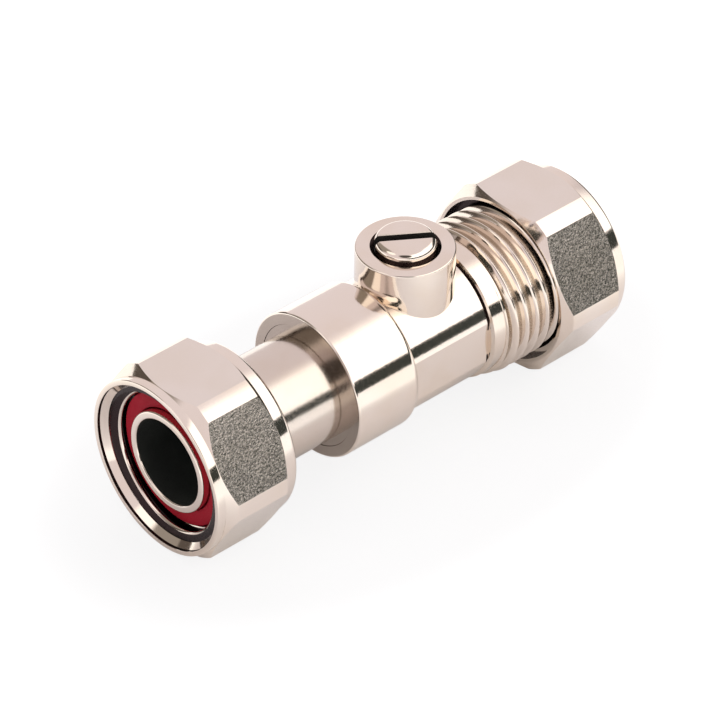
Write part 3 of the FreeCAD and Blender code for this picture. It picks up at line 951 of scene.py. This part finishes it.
@dataclass
class CompressionNut(HexNut):
    """Nut that runs on the body's pipe thread and squeezes the olive."""

    face_step: float = 0.25 * MM
    front_bevel: float = 0.84 * MM
    thread_major: float = 10.52 * MM
    mouth_wall: float = 1.2 * MM
    thread_length: float = 6.9 * MM
    relief: float = 1.54 * MM
    cone: float = 1.8 * MM
    cone_rise: float = 1.65 * MM
    hole: float = 7.65 * MM
    hole_round: float = 0.2 * MM

    node: ClassVar[str] = "compression_nut"
    body: ClassVar[str] = "compression_nut"

    def build(self) -> bpy.types.Object:
        """Turn the nut, mill its flats and cut its thread.

        Returns:
            The nut.
        """
        front, rear = self.span()
        relief_start = front + self.thread_length
        cone_start = relief_start + self.relief
        outline = [
            (front, self.mouth),
            (front, self.half - self.face_step),
            (front + self.front_bevel, self.corner),
            *self.back_outline(rear),
            (rear, self.hole),
            (cone_start + self.cone, self.hole),
            (cone_start, self.hole + self.cone_rise),
            (cone_start, self.bottom),
            (relief_start, self.bottom),
            (relief_start, self.minor),
            (front + self.mouth_wall, self.minor),
            (front + self.mouth_wall, self.mouth),
        ]
        piece = Bench.turn("compression_nut_turned", self.datum, Axis.PIPE, outline)
        Bench.soften(piece, self.datum, Axis.PIPE, [(rear, self.back)], self.back_round)
        Bench.soften(piece, self.datum, Axis.PIPE, [(rear, self.hole)], self.hole_round)
        self.mill_flats(piece)
        tap = self.thread.screw("compression_tap", self.datum, front - MM, relief_start + self.relief / 2,
                                PIPE_CREST, self.thread_major)
        Bench.combine(piece, tap, Join.CUT)
        return piece


@dataclass
class TailPiece(ValvePiece):
    """Turned tail: spigot, flange, neck and the root that sits in the collar."""

    bore: float = 5.9 * MM
    spigot: float = 6.93 * MM
    spigot_length: float = 3.065 * MM
    flange: float = 9.05 * MM
    flange_length: float = 2.0 * MM
    neck: float = 7.35 * MM
    neck_length: float = 17.92 * MM
    root: float = 8.4 * MM
    root_recess: float = 0.08 * MM
    edge_round: float = 0.25 * MM

    node: ClassVar[str] = "tail_piece"
    body: ClassVar[str] = "valve"

    def build(self) -> bpy.types.Object:
        """Turn the tail.

        Returns:
            The tail piece.
        """
        rim, end = self.span()
        flange_face = rim + self.spigot_length
        flange_back = flange_face + self.flange_length
        root_start = flange_back + self.neck_length + self.root_recess
        outline = [
            (rim, self.bore),
            (rim, self.spigot),
            (flange_face, self.spigot),
            (flange_face, self.flange),
            (flange_back, self.flange),
            (flange_back, self.neck),
            (root_start, self.neck),
            (root_start, self.root),
            (end, self.root),
            (end, self.bore),
        ]
        piece = Bench.turn("tail_piece_turned", self.datum, Axis.PIPE, outline)
        Bench.soften(piece, self.datum, Axis.PIPE, [
            (rim, self.bore), (rim, self.spigot), (flange_back, self.flange)], self.edge_round)
        return piece

    def dress(self, piece: bpy.types.Object) -> None:
        """Polish the spigot, give the neck a satin skin, paint shade into the bore as a near-black tint
        and give the root's face a rougher tint darkened as painted shade.

        Args:
            piece: The tail piece.
        """
        flange_face = self.span()[0] + self.spigot_length
        satin, turned = self.finishes.satin, self.finishes.turned
        painted_bore_shade, dull_painted_shade_face = self.finishes.painted_bore_shade, self.finishes.dull_painted_shade_face

        def skin(face: bpy.types.MeshPolygon) -> bpy.types.Material:
            """Choose a face's material."""
            along, radius = self.datum.measure(Axis.PIPE, face.center)
            # painted shade: the bore is painted near black
            if radius < self.bore + PLACE_MATCH:
                return painted_bore_shade
            if along < flange_face - PLACE_MATCH:
                return turned
            # painted shade: the root's front face takes the rougher, darker tint
            return dull_painted_shade_face if radius > self.neck + PLACE_MATCH and face.normal.x < -FACING else satin

        Bench.paint(piece, [satin, painted_bore_shade, turned, dull_painted_shade_face], skin)


@dataclass
class FibreWasher(ValvePiece):
    """Red sealing washer that lies on the tail's flange."""

    hole: float = 7.05 * MM
    width: float = 2.05 * MM
    edge_round: float = 0.12 * MM
    edge_steps: int = 3

    node: ClassVar[str] = "fibre_washer"
    body: ClassVar[str] = "valve"
    slot: ClassVar[str] = "red_fibre"

    def build(self) -> bpy.types.Object:
        """Turn the washer.

        Returns:
            The washer.
        """
        front, rear = self.span()
        rim = self.hole + self.width
        corners = [(front, self.hole), (front, rim), (rear, rim), (rear, self.hole)]
        piece = Bench.turn("fibre_washer_cut", self.datum, Axis.PIPE, corners)
        Bench.soften(piece, self.datum, Axis.PIPE, corners[:2], self.edge_round, self.edge_steps)
        return piece

    def dress(self, piece: bpy.types.Object) -> None:
        """Give the washer its red fibre."""
        Bench.paint(piece, [self.finishes.fibre])


@dataclass
class ValveBody(ValvePiece):
    """Forged body: collar, waist with spanner flats, stem boss and pipe thread."""

    collar: float = 10.065 * MM
    collar_length: float = 9.98 * MM
    collar_taper: float = 0.5 * MM
    collar_round: float = 0.3 * MM
    collar_back_round: float = 0.55 * MM
    waist: float = 9.18 * MM
    groove_width: float = 0.3 * MM
    groove_depth: float = 0.3 * MM
    waist_end: float = 12.93 * MM
    ring: float = 9.58 * MM
    ring_step: float = 0.3 * MM
    ring_length: float = 2.7 * MM
    thread_lead: float = 0.45 * MM
    thread_major: float = 10.4 * MM
    core_share: float = 1.5
    root_share: float = 0.66
    end_bevel: float = 1.0 * MM
    flats: float = 8.66 * MM
    flats_margin: float = 0.45 * MM
    flats_runout: float = 0.1 * MM
    boss: float = 6.45 * MM
    boss_bevel: float = 0.25 * MM
    stem_hole: float = 4.1 * MM
    hole_bevel: float = 0.45 * MM
    shoulder_pocket: float = 5.05 * MM
    boss_wall: float = 3.97 * MM
    root_bore: float = 8.45 * MM
    chamber: float = 7.95 * MM
    seat_reach: float = 8.22 * MM
    waterway: float = 5.5 * MM
    stop_wall: float = 1.96 * MM
    socket: float = 7.6 * MM
    mouth_cone: float = 1.2 * MM
    overrun: float = 1.0 * MM
    thread: PipeThread = PipeThread()

    node: ClassVar[str] = "valve_body"
    body: ClassVar[str] = "valve"

    @property
    def top(self) -> float:
        """Height of the boss's top face."""
        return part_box(self.node)[1].z

    @property
    def hole_reach(self) -> float:
        """Radius of the stem hole's bevel at the boss's top."""
        return self.stem_hole + self.hole_bevel

    @property
    def ring_end(self) -> float:
        """Where the plain ring ends and the pipe thread begins, along the pipe axis."""
        return self.waist_end + self.ring_length

    def is_thread(self, point: Vector) -> bool:
        """Whether a place lies on the pipe thread."""
        along, radius = self.datum.measure(Axis.PIPE, point)
        return along > self.ring_end and radius > self.thread_major - self.thread.depth - PLACE_MATCH

    def build(self) -> bpy.types.Object:
        """Turn the body, raise its boss, cut its thread, flats and passages.

        Returns:
            The body.
        """
        front, rear = self.span()
        collar_back = front + self.collar_length
        groove_start = self.waist_end - self.groove_width
        core = self.thread_major - self.core_share * self.thread.depth
        piece = Bench.turn("valve_body_forged", self.datum, Axis.PIPE, [
            (front, 0.0),
            (front, self.collar),
            (collar_back, self.collar),
            (collar_back + self.collar_taper, self.waist),
            (groove_start, self.waist),
            (groove_start, self.waist - self.groove_depth),
            (self.waist_end, self.waist - self.groove_depth),
            (self.waist_end + self.ring_step, self.ring),
            (self.ring_end, self.ring),
            (self.ring_end, core),
            (rear, core),
            (rear, 0.0),
        ])
        Bench.soften(piece, self.datum, Axis.PIPE, [(front, self.collar)], self.collar_round)
        Bench.soften(piece, self.datum, Axis.PIPE, [(collar_back, self.collar)], self.collar_back_round)
        self.cut_flats(piece, collar_back)
        self.raise_boss(piece)
        Bench.combine(piece, self.cut_screw(rear), Join.ADD)
        self.cut_passages(piece, front, rear)
        return piece

    def cut_screw(self, rear: float) -> bpy.types.Object:
        """Make the pipe thread, bevelled at both ends.

        Args:
            rear: Where the thread ends along the pipe axis.

        Returns:
            The thread as a solid of its own.
        """
        slope = (self.thread_major - self.ring) / self.thread_lead
        start = self.ring_end - 2 * self.thread_lead
        screw = self.thread.screw("pipe_screw", self.datum, start - self.thread_lead, rear + self.overrun,
                                  PIPE_CREST, self.thread_major)
        reach = self.thread_major + self.thread.depth
        envelope = Bench.turn("thread_envelope", self.datum, Axis.PIPE, [
            (start, 0.0),
            (start, self.ring - slope * self.thread_lead),
            (self.ring_end + self.thread.depth / slope, reach),
            (rear - self.end_bevel - self.thread.depth, reach),
            (rear, self.thread_major - self.end_bevel),
            (rear, 0.0),
        ])
        Bench.combine(screw, envelope, Join.TRIM)
        return screw

    def cut_flats(self, piece: bpy.types.Object, collar_back: float) -> None:
        """Mill the two spanner flats beside the boss.

        Args:
            piece: The body.
            collar_back: Where the collar ends along the pipe axis.
        """
        flats_start = collar_back + self.flats_margin
        length = self.waist_end + self.flats_runout - flats_start
        along = flats_start + length / 2
        depth = self.collar - self.flats + self.overrun
        for side in (-1.0, 1.0):
            centre = Vector((along, side * (self.flats + depth / 2), self.datum.height))
            size = Vector((length, depth, CUTTER_REACH * self.collar))
            tool = Bench.block("spanner_flat", centre, size)
            Bench.combine(piece, tool, Join.CUT)

    def raise_boss(self, piece: bpy.types.Object) -> None:
        """Add the round boss around the stem.

        Args:
            piece: The body.
        """
        boss = Bench.turn("stem_boss", self.datum, Axis.STEM, [
            (self.datum.height, 0.0),
            (self.datum.height, self.boss),
            (self.top, self.boss),
            (self.top, 0.0),
        ])
        Bench.soften(boss, self.datum, Axis.STEM, [(self.top, self.boss)], self.boss_bevel)
        Bench.combine(piece, boss, Join.ADD)

    def cut_passages(self, piece: bpy.types.Object, front: float, rear: float) -> None:
        """Cut the waterway and the stem's hole.

        Args:
            piece: The body.
            front: Its front end along the pipe axis.
            rear: Its rear end along the pipe axis.
        """
        seat_front = self.datum.along - self.seat_reach
        seat_rear = self.datum.along + self.seat_reach
        stop = seat_rear + self.stop_wall
        water = Bench.turn("water_passage", self.datum, Axis.PIPE, [
            (front - self.overrun, 0.0),
            (front - self.overrun, self.root_bore),
            (seat_front, self.root_bore),
            (seat_front, self.chamber),
            (seat_rear, self.chamber),
            (seat_rear, self.waterway),
            (stop, self.waterway),
            (stop, self.socket),
            (rear - self.mouth_cone, self.socket),
            (rear + self.overrun, self.socket + self.mouth_cone + self.overrun),
            (rear + self.overrun, 0.0),
        ])
        Bench.combine(piece, water, Join.CUT)
        roof = self.top - self.boss_wall
        bore = Bench.turn("stem_passage", self.datum, Axis.STEM, [
            (self.datum.height, 0.0),
            (self.datum.height, self.shoulder_pocket),
            (roof, self.shoulder_pocket),
            (roof, self.stem_hole),
            (self.top - self.hole_bevel, self.stem_hole),
            (self.top + self.overrun, self.hole_reach + self.overrun),
            (self.top + self.overrun, 0.0),
        ])
        Bench.combine(piece, bore, Join.CUT)

    def in_groove(self, point: Vector) -> bool:
        """Whether a place lies in the narrow groove at the waist's rear end.

        Args:
            point: A place on the body.

        Returns:
            True inside the groove, away from the spanner flats.
        """
        along, radius = self.datum.measure(Axis.PIPE, point)
        in_width = self.waist_end - self.groove_width - PLACE_MATCH < along < self.waist_end + PLACE_MATCH
        return in_width and self.flats < radius < self.waist - PLACE_MATCH

    def dress(self, piece: bpy.types.Object) -> None:
        """Plate the body, and paint shade as darker tints into its thread roots, collar face, groove and
        stem hole, the collar face also rougher.

        Args:
            piece: The body.
        """
        front = self.span()[0]
        top = self.top
        root_depth = self.root_share * self.thread.depth
        forged, painted_root_shade = self.finishes.forged, self.finishes.painted_root_shade
        dull_painted_shade_face, shaded = self.finishes.dull_painted_shade_face, self.finishes.shaded

        def skin(face: bpy.types.MeshPolygon) -> bpy.types.Material:
            """Choose a face's material."""
            along, radius = self.datum.measure(Axis.PIPE, face.center)
            if self.is_thread(face.center):
                # painted shade: the thread's roots get the darker tint
                return painted_root_shade if radius < self.thread_major - root_depth else forged
            # painted shade: the collar's front face takes the rougher, darker tint
            if along < front + PLACE_MATCH:
                return dull_painted_shade_face
            # painted shade: the stem hole's bevel and the waist's groove get the near-black tint
            height, reach = self.datum.measure(Axis.STEM, face.center)
            in_bevel = top - self.hole_bevel - PLACE_MATCH < height < top - PLACE_MATCH
            in_hole = in_bevel and reach < self.hole_reach
            return shaded if in_hole or self.in_groove(face.center) else forged

        Bench.paint(piece, [forged, painted_root_shade, dull_painted_shade_face, shaded], skin)


@dataclass
class Stem(ValvePiece):
    """Turning stem with its screwdriver slot, seal grooves, shoulder and tang."""

    shaft: float = 4.0 * MM
    edge_round: float = 1.0 * MM
    edge_steps: int = 12
    slot_width: float = 1.2 * MM
    slot_depth: float = 1.8 * MM
    slot_turn: float = math.radians(-34.1)
    slot_edge: float = 0.12 * MM
    shoulder: float = 4.9 * MM
    shoulder_height: float = 1.2 * MM
    seals: int = 2
    groove_floor: float = 3.2 * MM
    groove: float = 1.2 * MM
    land: float = 0.45 * MM
    roof_below_top: float = 5.47 * MM
    thrust_gap: float = 0.5 * MM
    tang: float = 2.2 * MM
    tang_length: float = 8.0 * MM
    overrun: float = 1.0 * MM

    node: ClassVar[str] = "stem"
    body: ClassVar[str] = "ball_and_stem"

    def build(self) -> bpy.types.Object:
        """Turn the stem, add its tang and cut its slot.

        Returns:
            The stem.
        """
        low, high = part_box(self.node)
        top = high.z
        roof = top - self.roof_below_top
        shoulder_top = roof - self.thrust_gap
        shoulder_bottom = shoulder_top - self.shoulder_height
        outline = [
            (shoulder_bottom, 0.0),
            (shoulder_bottom, self.shoulder),
            (shoulder_top, self.shoulder),
            (shoulder_top, self.shaft),
        ]
        place = roof
        for _ in range(self.seals):
            place += self.land
            outline += [(place, self.shaft), (place, self.groove_floor)]
            place += self.groove
            outline += [(place, self.groove_floor), (place, self.shaft)]
        outline += [(top, self.shaft), (top, 0.0)]
        piece = Bench.turn("stem_slotted", self.datum, Axis.STEM, outline)
        Bench.soften(piece, self.datum, Axis.STEM, [(top, self.shaft)], self.edge_round,
                     self.edge_steps)
        height = shoulder_bottom + self.shoulder_height / 2 - low.z
        tang = Bench.block("stem_tang", Vector((self.datum.along, 0.0, low.z + height / 2)),
                           Vector((self.tang, self.tang_length, height)), self.slot_turn)
        Bench.combine(piece, tang, Join.ADD)
        Bench.combine(piece, self.slot_cutter(top), Join.CUT)
        return piece

    def slot_cutter(self, top: float) -> bpy.types.Object:
        """Make the cutter of the driver slot, flared where it breaks the stem's edges.

        Args:
            top: Height of the stem's top face.

        Returns:
            The cutter.
        """
        tall = self.slot_depth - self.slot_edge
        centre = Vector((self.datum.along, 0.0, top - self.slot_edge - tall / 2))
        size = Vector((CUTTER_REACH * self.shaft, self.slot_width, tall))
        cutter = Bench.block("driver_slot", centre, size)
        rise = self.slot_edge + self.overrun
        flare = 1.0 + 2 * rise / self.slot_width
        Bench.pick(cutter, Part.FACE, lambda face: face.normal.z > FACING)
        bpy.ops.mesh.extrude_region_move(TRANSFORM_OT_translate={"value": (0.0, 0.0, rise)})
        bpy.ops.transform.resize(value=(1.0, flare, 1.0), center_override=centre)
        Bench.close()
        axis = Matrix.Translation((self.datum.along, 0.0, 0.0))
        cutter.data.transform(axis @ Matrix.Rotation(self.slot_turn, 4, "Z") @ axis.inverted())
        return cutter

    def in_slot(self, face: bpy.types.MeshPolygon, top: float) -> bool:
        """Whether a face is a wall or the floor of the driver slot.

        Args:
            face: The face.
            top: Height of the stem's top face.

        Returns:
            True inside the slot, below its flared edge.
        """
        across = Matrix.Rotation(-self.slot_turn, 3, "Z") @ (face.center - self.datum.centre)
        in_width = abs(across.y) < self.slot_width / 2 + PLACE_MATCH
        floor = top - self.slot_depth - PLACE_MATCH
        return in_width and floor < face.center.z < top - self.slot_edge + PLACE_MATCH

    def dress(self, piece: bpy.types.Object) -> None:
        """Polish the stem and paint shade into its slot as a near-black tint.

        Args:
            piece: The stem.
        """
        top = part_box(self.node)[1].z
        turned, slot_painted_shade = self.finishes.turned, self.finishes.slot_painted_shade
        Bench.paint(piece, [turned, slot_painted_shade], lambda face: slot_painted_shade if self.in_slot(face, top) else turned)


@dataclass(frozen=True)
class InnerPieces:
    """Pieces inside the valve that keep their own solids and get a finish."""

    finishes: Finishes

    def dress(self) -> None:
        """Give each inner piece its material."""
        looks = {
            "ball": self.finishes.ball_plate,
            "front_seat": self.finishes.seat_white,
            "rear_seat": self.finishes.seat_white,
            "stem_thrust_washer": self.finishes.seat_white,
            "lower_stem_seal": self.finishes.rubber,
            "upper_stem_seal": self.finishes.rubber,
            "olive": self.finishes.brass,
        }
        for node, material in looks.items():
            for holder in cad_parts[node].material_slots:
                holder.material = material
            LOG.info("%s: %s", node, material.name)


@dataclass(frozen=True)
class ViewPoint:
    """The camera: where it stands, which way it looks and its lens."""

    place: Direction = (-0.26035, -0.28142, 0.31466)
    right: Direction = (0.741834, -0.670488, 0.011327)
    forward: Direction = (0.530560, 0.576519, -0.621395)
    lens: float = 191.843

    def set_up(self) -> None:
        """Make the camera and hand it to the scene."""
        data = bpy.data.cameras.new("camera")
        data.lens = self.lens
        camera = bpy.data.objects.new("camera", data)
        bpy.context.scene.collection.objects.link(camera)
        right = Vector(self.right).normalized()
        ahead = Vector(self.forward).normalized()
        above = right.cross(ahead)
        turn = Matrix((right, above, -ahead)).transposed().to_4x4()
        camera.matrix_world = Matrix.Translation(self.place) @ turn
        bpy.context.scene.camera = camera


@dataclass(frozen=True)
class SkyPatch:
    """A soft-edged round patch of the surroundings that the metal mirrors."""

    toward: Direction
    inner: float
    outer: float
    light: Colour

    def mask(self, sheet: NodeSheet, direction: bpy.types.NodeSocket) -> bpy.types.NodeSocket:
        """Place the nodes that find the patch.

        Args:
            sheet: The world's nodes.
            direction: The direction that is looked in.

        Returns:
            One inside the inner angle, none outside the outer angle.
        """
        edge, core = (math.cos(math.radians(angle)) for angle in (self.outer, self.inner))
        return sheet.facing(direction, Vector(self.toward).normalized(), (edge, core))


@dataclass(frozen=True)
class Studio:
    """Pale table and a tent: one long soft box, a dark card below it and a dim horizon."""

    floor_size: float = 6.0
    floor_colour: Colour = (0.87, 0.865, 0.88)
    floor_roughness: float = 0.9
    floor_specular: float = 0.1
    floor_lift: float = 0.85
    # painted light: seen in the metal, the table's glow rises from near_lift close to the valve to
    # far_lift and far_glow farther out, a painted pool of light
    near_lift: float = 0.06
    far_lift: float = 0.85
    lift_reach: Point = (0.025, 0.05)
    pool_shape: Direction = (0.6, 1.0, 0.0)
    far_glow: float = 1.5
    backdrop: Colour = (1.0, 1.0, 1.0)
    sky: Colour = (0.93, 0.855, 0.885)
    horizon: Colour = (0.12, 0.10, 0.088)
    horizon_side: Direction = (-0.34, 0.94, 0.0)
    horizon_limits: Point = (0.75, 0.93)
    dark_card: Colour = (0.05, 0.056, 0.052)
    soft_box: Colour = (1.9, 1.85, 1.8)
    box_side: Direction = (0.539, -0.842, 0.0)
    box_limits: Point = (0.2, 0.5)
    box_low: float = 14.8
    box_low_blur: float = 0.008
    box_high: float = 58.0
    box_high_blur: float = 0.03
    lamp_place: Direction = (0.15, 0.30, 0.45)
    lamp_size: Point = (0.5, 0.4)
    lamp_power: float = 0.6
    patches: tuple[SkyPatch, ...] = (
        SkyPatch((-0.5, 0.65, 0.57), 20.0, 34.0, (0.36, 0.325, 0.29)),
        SkyPatch((-0.71, 0.19, 0.68), 11.0, 17.0, (1.5, 1.45, 1.4)),
        SkyPatch((-0.53, -0.577, 0.62), 14.0, 24.0, (0.10, 0.09, 0.085)),
        SkyPatch((0.98, 0.1, 0.05), 23.0, 31.0, (0.06, 0.057, 0.054)),
    )

    def set_up(self) -> None:
        """Build the table, the sky and the lamp."""
        bpy.context.scene.view_settings.view_transform = "Standard"
        self.lay_floor()
        self.light_sky()
        self.hang_soft_box()

    def lay_floor(self) -> None:
        """Lay the table, white to the eye and pale in the metal, with the valve's shadow on it and a
        painted pool of light that glows brighter the farther it lies from the valve.
        """
        bpy.ops.object.select_all(action="DESELECT")
        bpy.ops.mesh.primitive_plane_add(size=self.floor_size)
        floor = bpy.context.object
        floor.name = "floor"
        material = bpy.data.materials.new("pale_table")
        material.use_nodes = True
        sheet = NodeSheet(material.node_tree)
        skin = material.node_tree.nodes["Principled BSDF"]
        skin.inputs["Base Color"].default_value = (*self.floor_colour, 1.0)
        skin.inputs["Roughness"].default_value = self.floor_roughness
        skin.inputs["Specular IOR Level"].default_value = self.floor_specular
        glow = sheet.add("ShaderNodeEmission")
        squeezed = sheet.add("ShaderNodeVectorMath", operation="MULTIPLY")
        squeezed.inputs[1].default_value = self.pool_shape
        sheet.wire(sheet.add("ShaderNodeTexCoord").outputs["Object"], squeezed.inputs[0])
        reach = sheet.add("ShaderNodeVectorMath", operation="LENGTH")
        sheet.wire(squeezed.outputs[0], reach.inputs[0])
        # painted light: a pool of glow on the table, dim near the valve and brighter farther out
        pool = sheet.ramp(reach.outputs["Value"], *self.lift_reach, self.near_lift, self.far_lift)
        sheet.wire(sheet.ramp(reach.outputs["Value"], *self.lift_reach, 1.0, self.far_glow),
                   glow.inputs["Strength"])
        path = sheet.add("ShaderNodeLightPath")
        mirrored = sheet.maths("MAXIMUM", path.outputs["Is Glossy Ray"],
                               path.outputs["Is Transmission Ray"])
        seen_lift = sheet.maths("MULTIPLY", path.outputs["Is Camera Ray"], self.floor_lift)
        lift = sheet.maths("ADD", seen_lift, sheet.maths("MULTIPLY", mirrored, pool))
        mix = sheet.add("ShaderNodeMixShader")
        sheet.wire(lift, mix.inputs[0])
        sheet.wire(skin.outputs[0], mix.inputs[1])
        sheet.wire(glow.outputs[0], mix.inputs[2])
        sheet.wire(mix.outputs[0], material.node_tree.nodes["Material Output"].inputs["Surface"])
        Bench.paint(floor, [material])

    def light_sky(self) -> None:
        """Light the world: white to the eye, and a soft tent with a dim horizon in the metal."""
        world = bpy.data.worlds.new("tent")
        bpy.context.scene.world = world
        world.use_nodes = True
        sheet = NodeSheet(world.node_tree)
        back = world.node_tree.nodes["Background"]
        direction = sheet.add("ShaderNodeTexCoord").outputs["Generated"]
        parts = sheet.add("ShaderNodeSeparateXYZ")
        sheet.wire(direction, parts.inputs[0])
        up = parts.outputs["Z"]
        facing = sheet.facing(direction, self.box_side, self.box_limits)
        away = sheet.facing(direction, self.horizon_side, self.horizon_limits)
        low, high = (math.sin(math.radians(angle)) for angle in (self.box_low, self.box_high))
        low_edge = (low - self.box_low_blur, low + self.box_low_blur)
        high_edge = (high - self.box_high_blur, high + self.box_high_blur)
        above = sheet.ramp(up, *low_edge)
        below = sheet.ramp(up, *low_edge, 1.0, 0.0)
        under_top = sheet.ramp(up, *high_edge, 1.0, 0.0)
        box = sheet.maths("MULTIPLY", sheet.maths("MULTIPLY", above, under_top), facing)
        lit = sheet.blend(box, self.sky, self.soft_box)
        for patch in self.patches:
            lit = sheet.blend(patch.mask(sheet, direction), lit, patch.light)
        for side, shade in ((facing, self.dark_card), (away, self.horizon)):
            lit = sheet.blend(sheet.maths("MULTIPLY", below, side), lit, shade)
        eye = sheet.add("ShaderNodeLightPath").outputs["Is Camera Ray"]
        sheet.wire(sheet.blend(eye, lit, self.backdrop), back.inputs["Color"])

    def hang_soft_box(self) -> None:
        """Hang one broad lamp that draws a soft shadow."""
        lamp = bpy.data.lights.new("soft_box", "AREA")
        lamp.shape = "RECTANGLE"
        lamp.size, lamp.size_y = self.lamp_size
        lamp.energy = self.lamp_power
        lamp_object = bpy.data.objects.new("soft_box", lamp)
        bpy.context.scene.collection.objects.link(lamp_object)
        place = Vector(self.lamp_place)
        lamp_object.location = place
        lamp_object.rotation_euler = (-place).to_track_quat("-Z", "Y").to_euler()
        lamp_object.visible_glossy = False


def main() -> None:
    """Build the valve's pieces in order, dress the inner ones and set up the studio."""
    logging.basicConfig(level=logging.INFO, format="%(name)s: %(message)s")
    datum = Datum.from_frame()
    finishes = Finishes()
    for maker in (TailPiece, FibreWasher, SwivelNut, ValveBody, Stem, CompressionNut):
        maker(datum, finishes).install()
    InnerPieces(finishes).dress()
    Studio().set_up()
    ViewPoint().set_up()


if __name__ == "__main__":
    main()
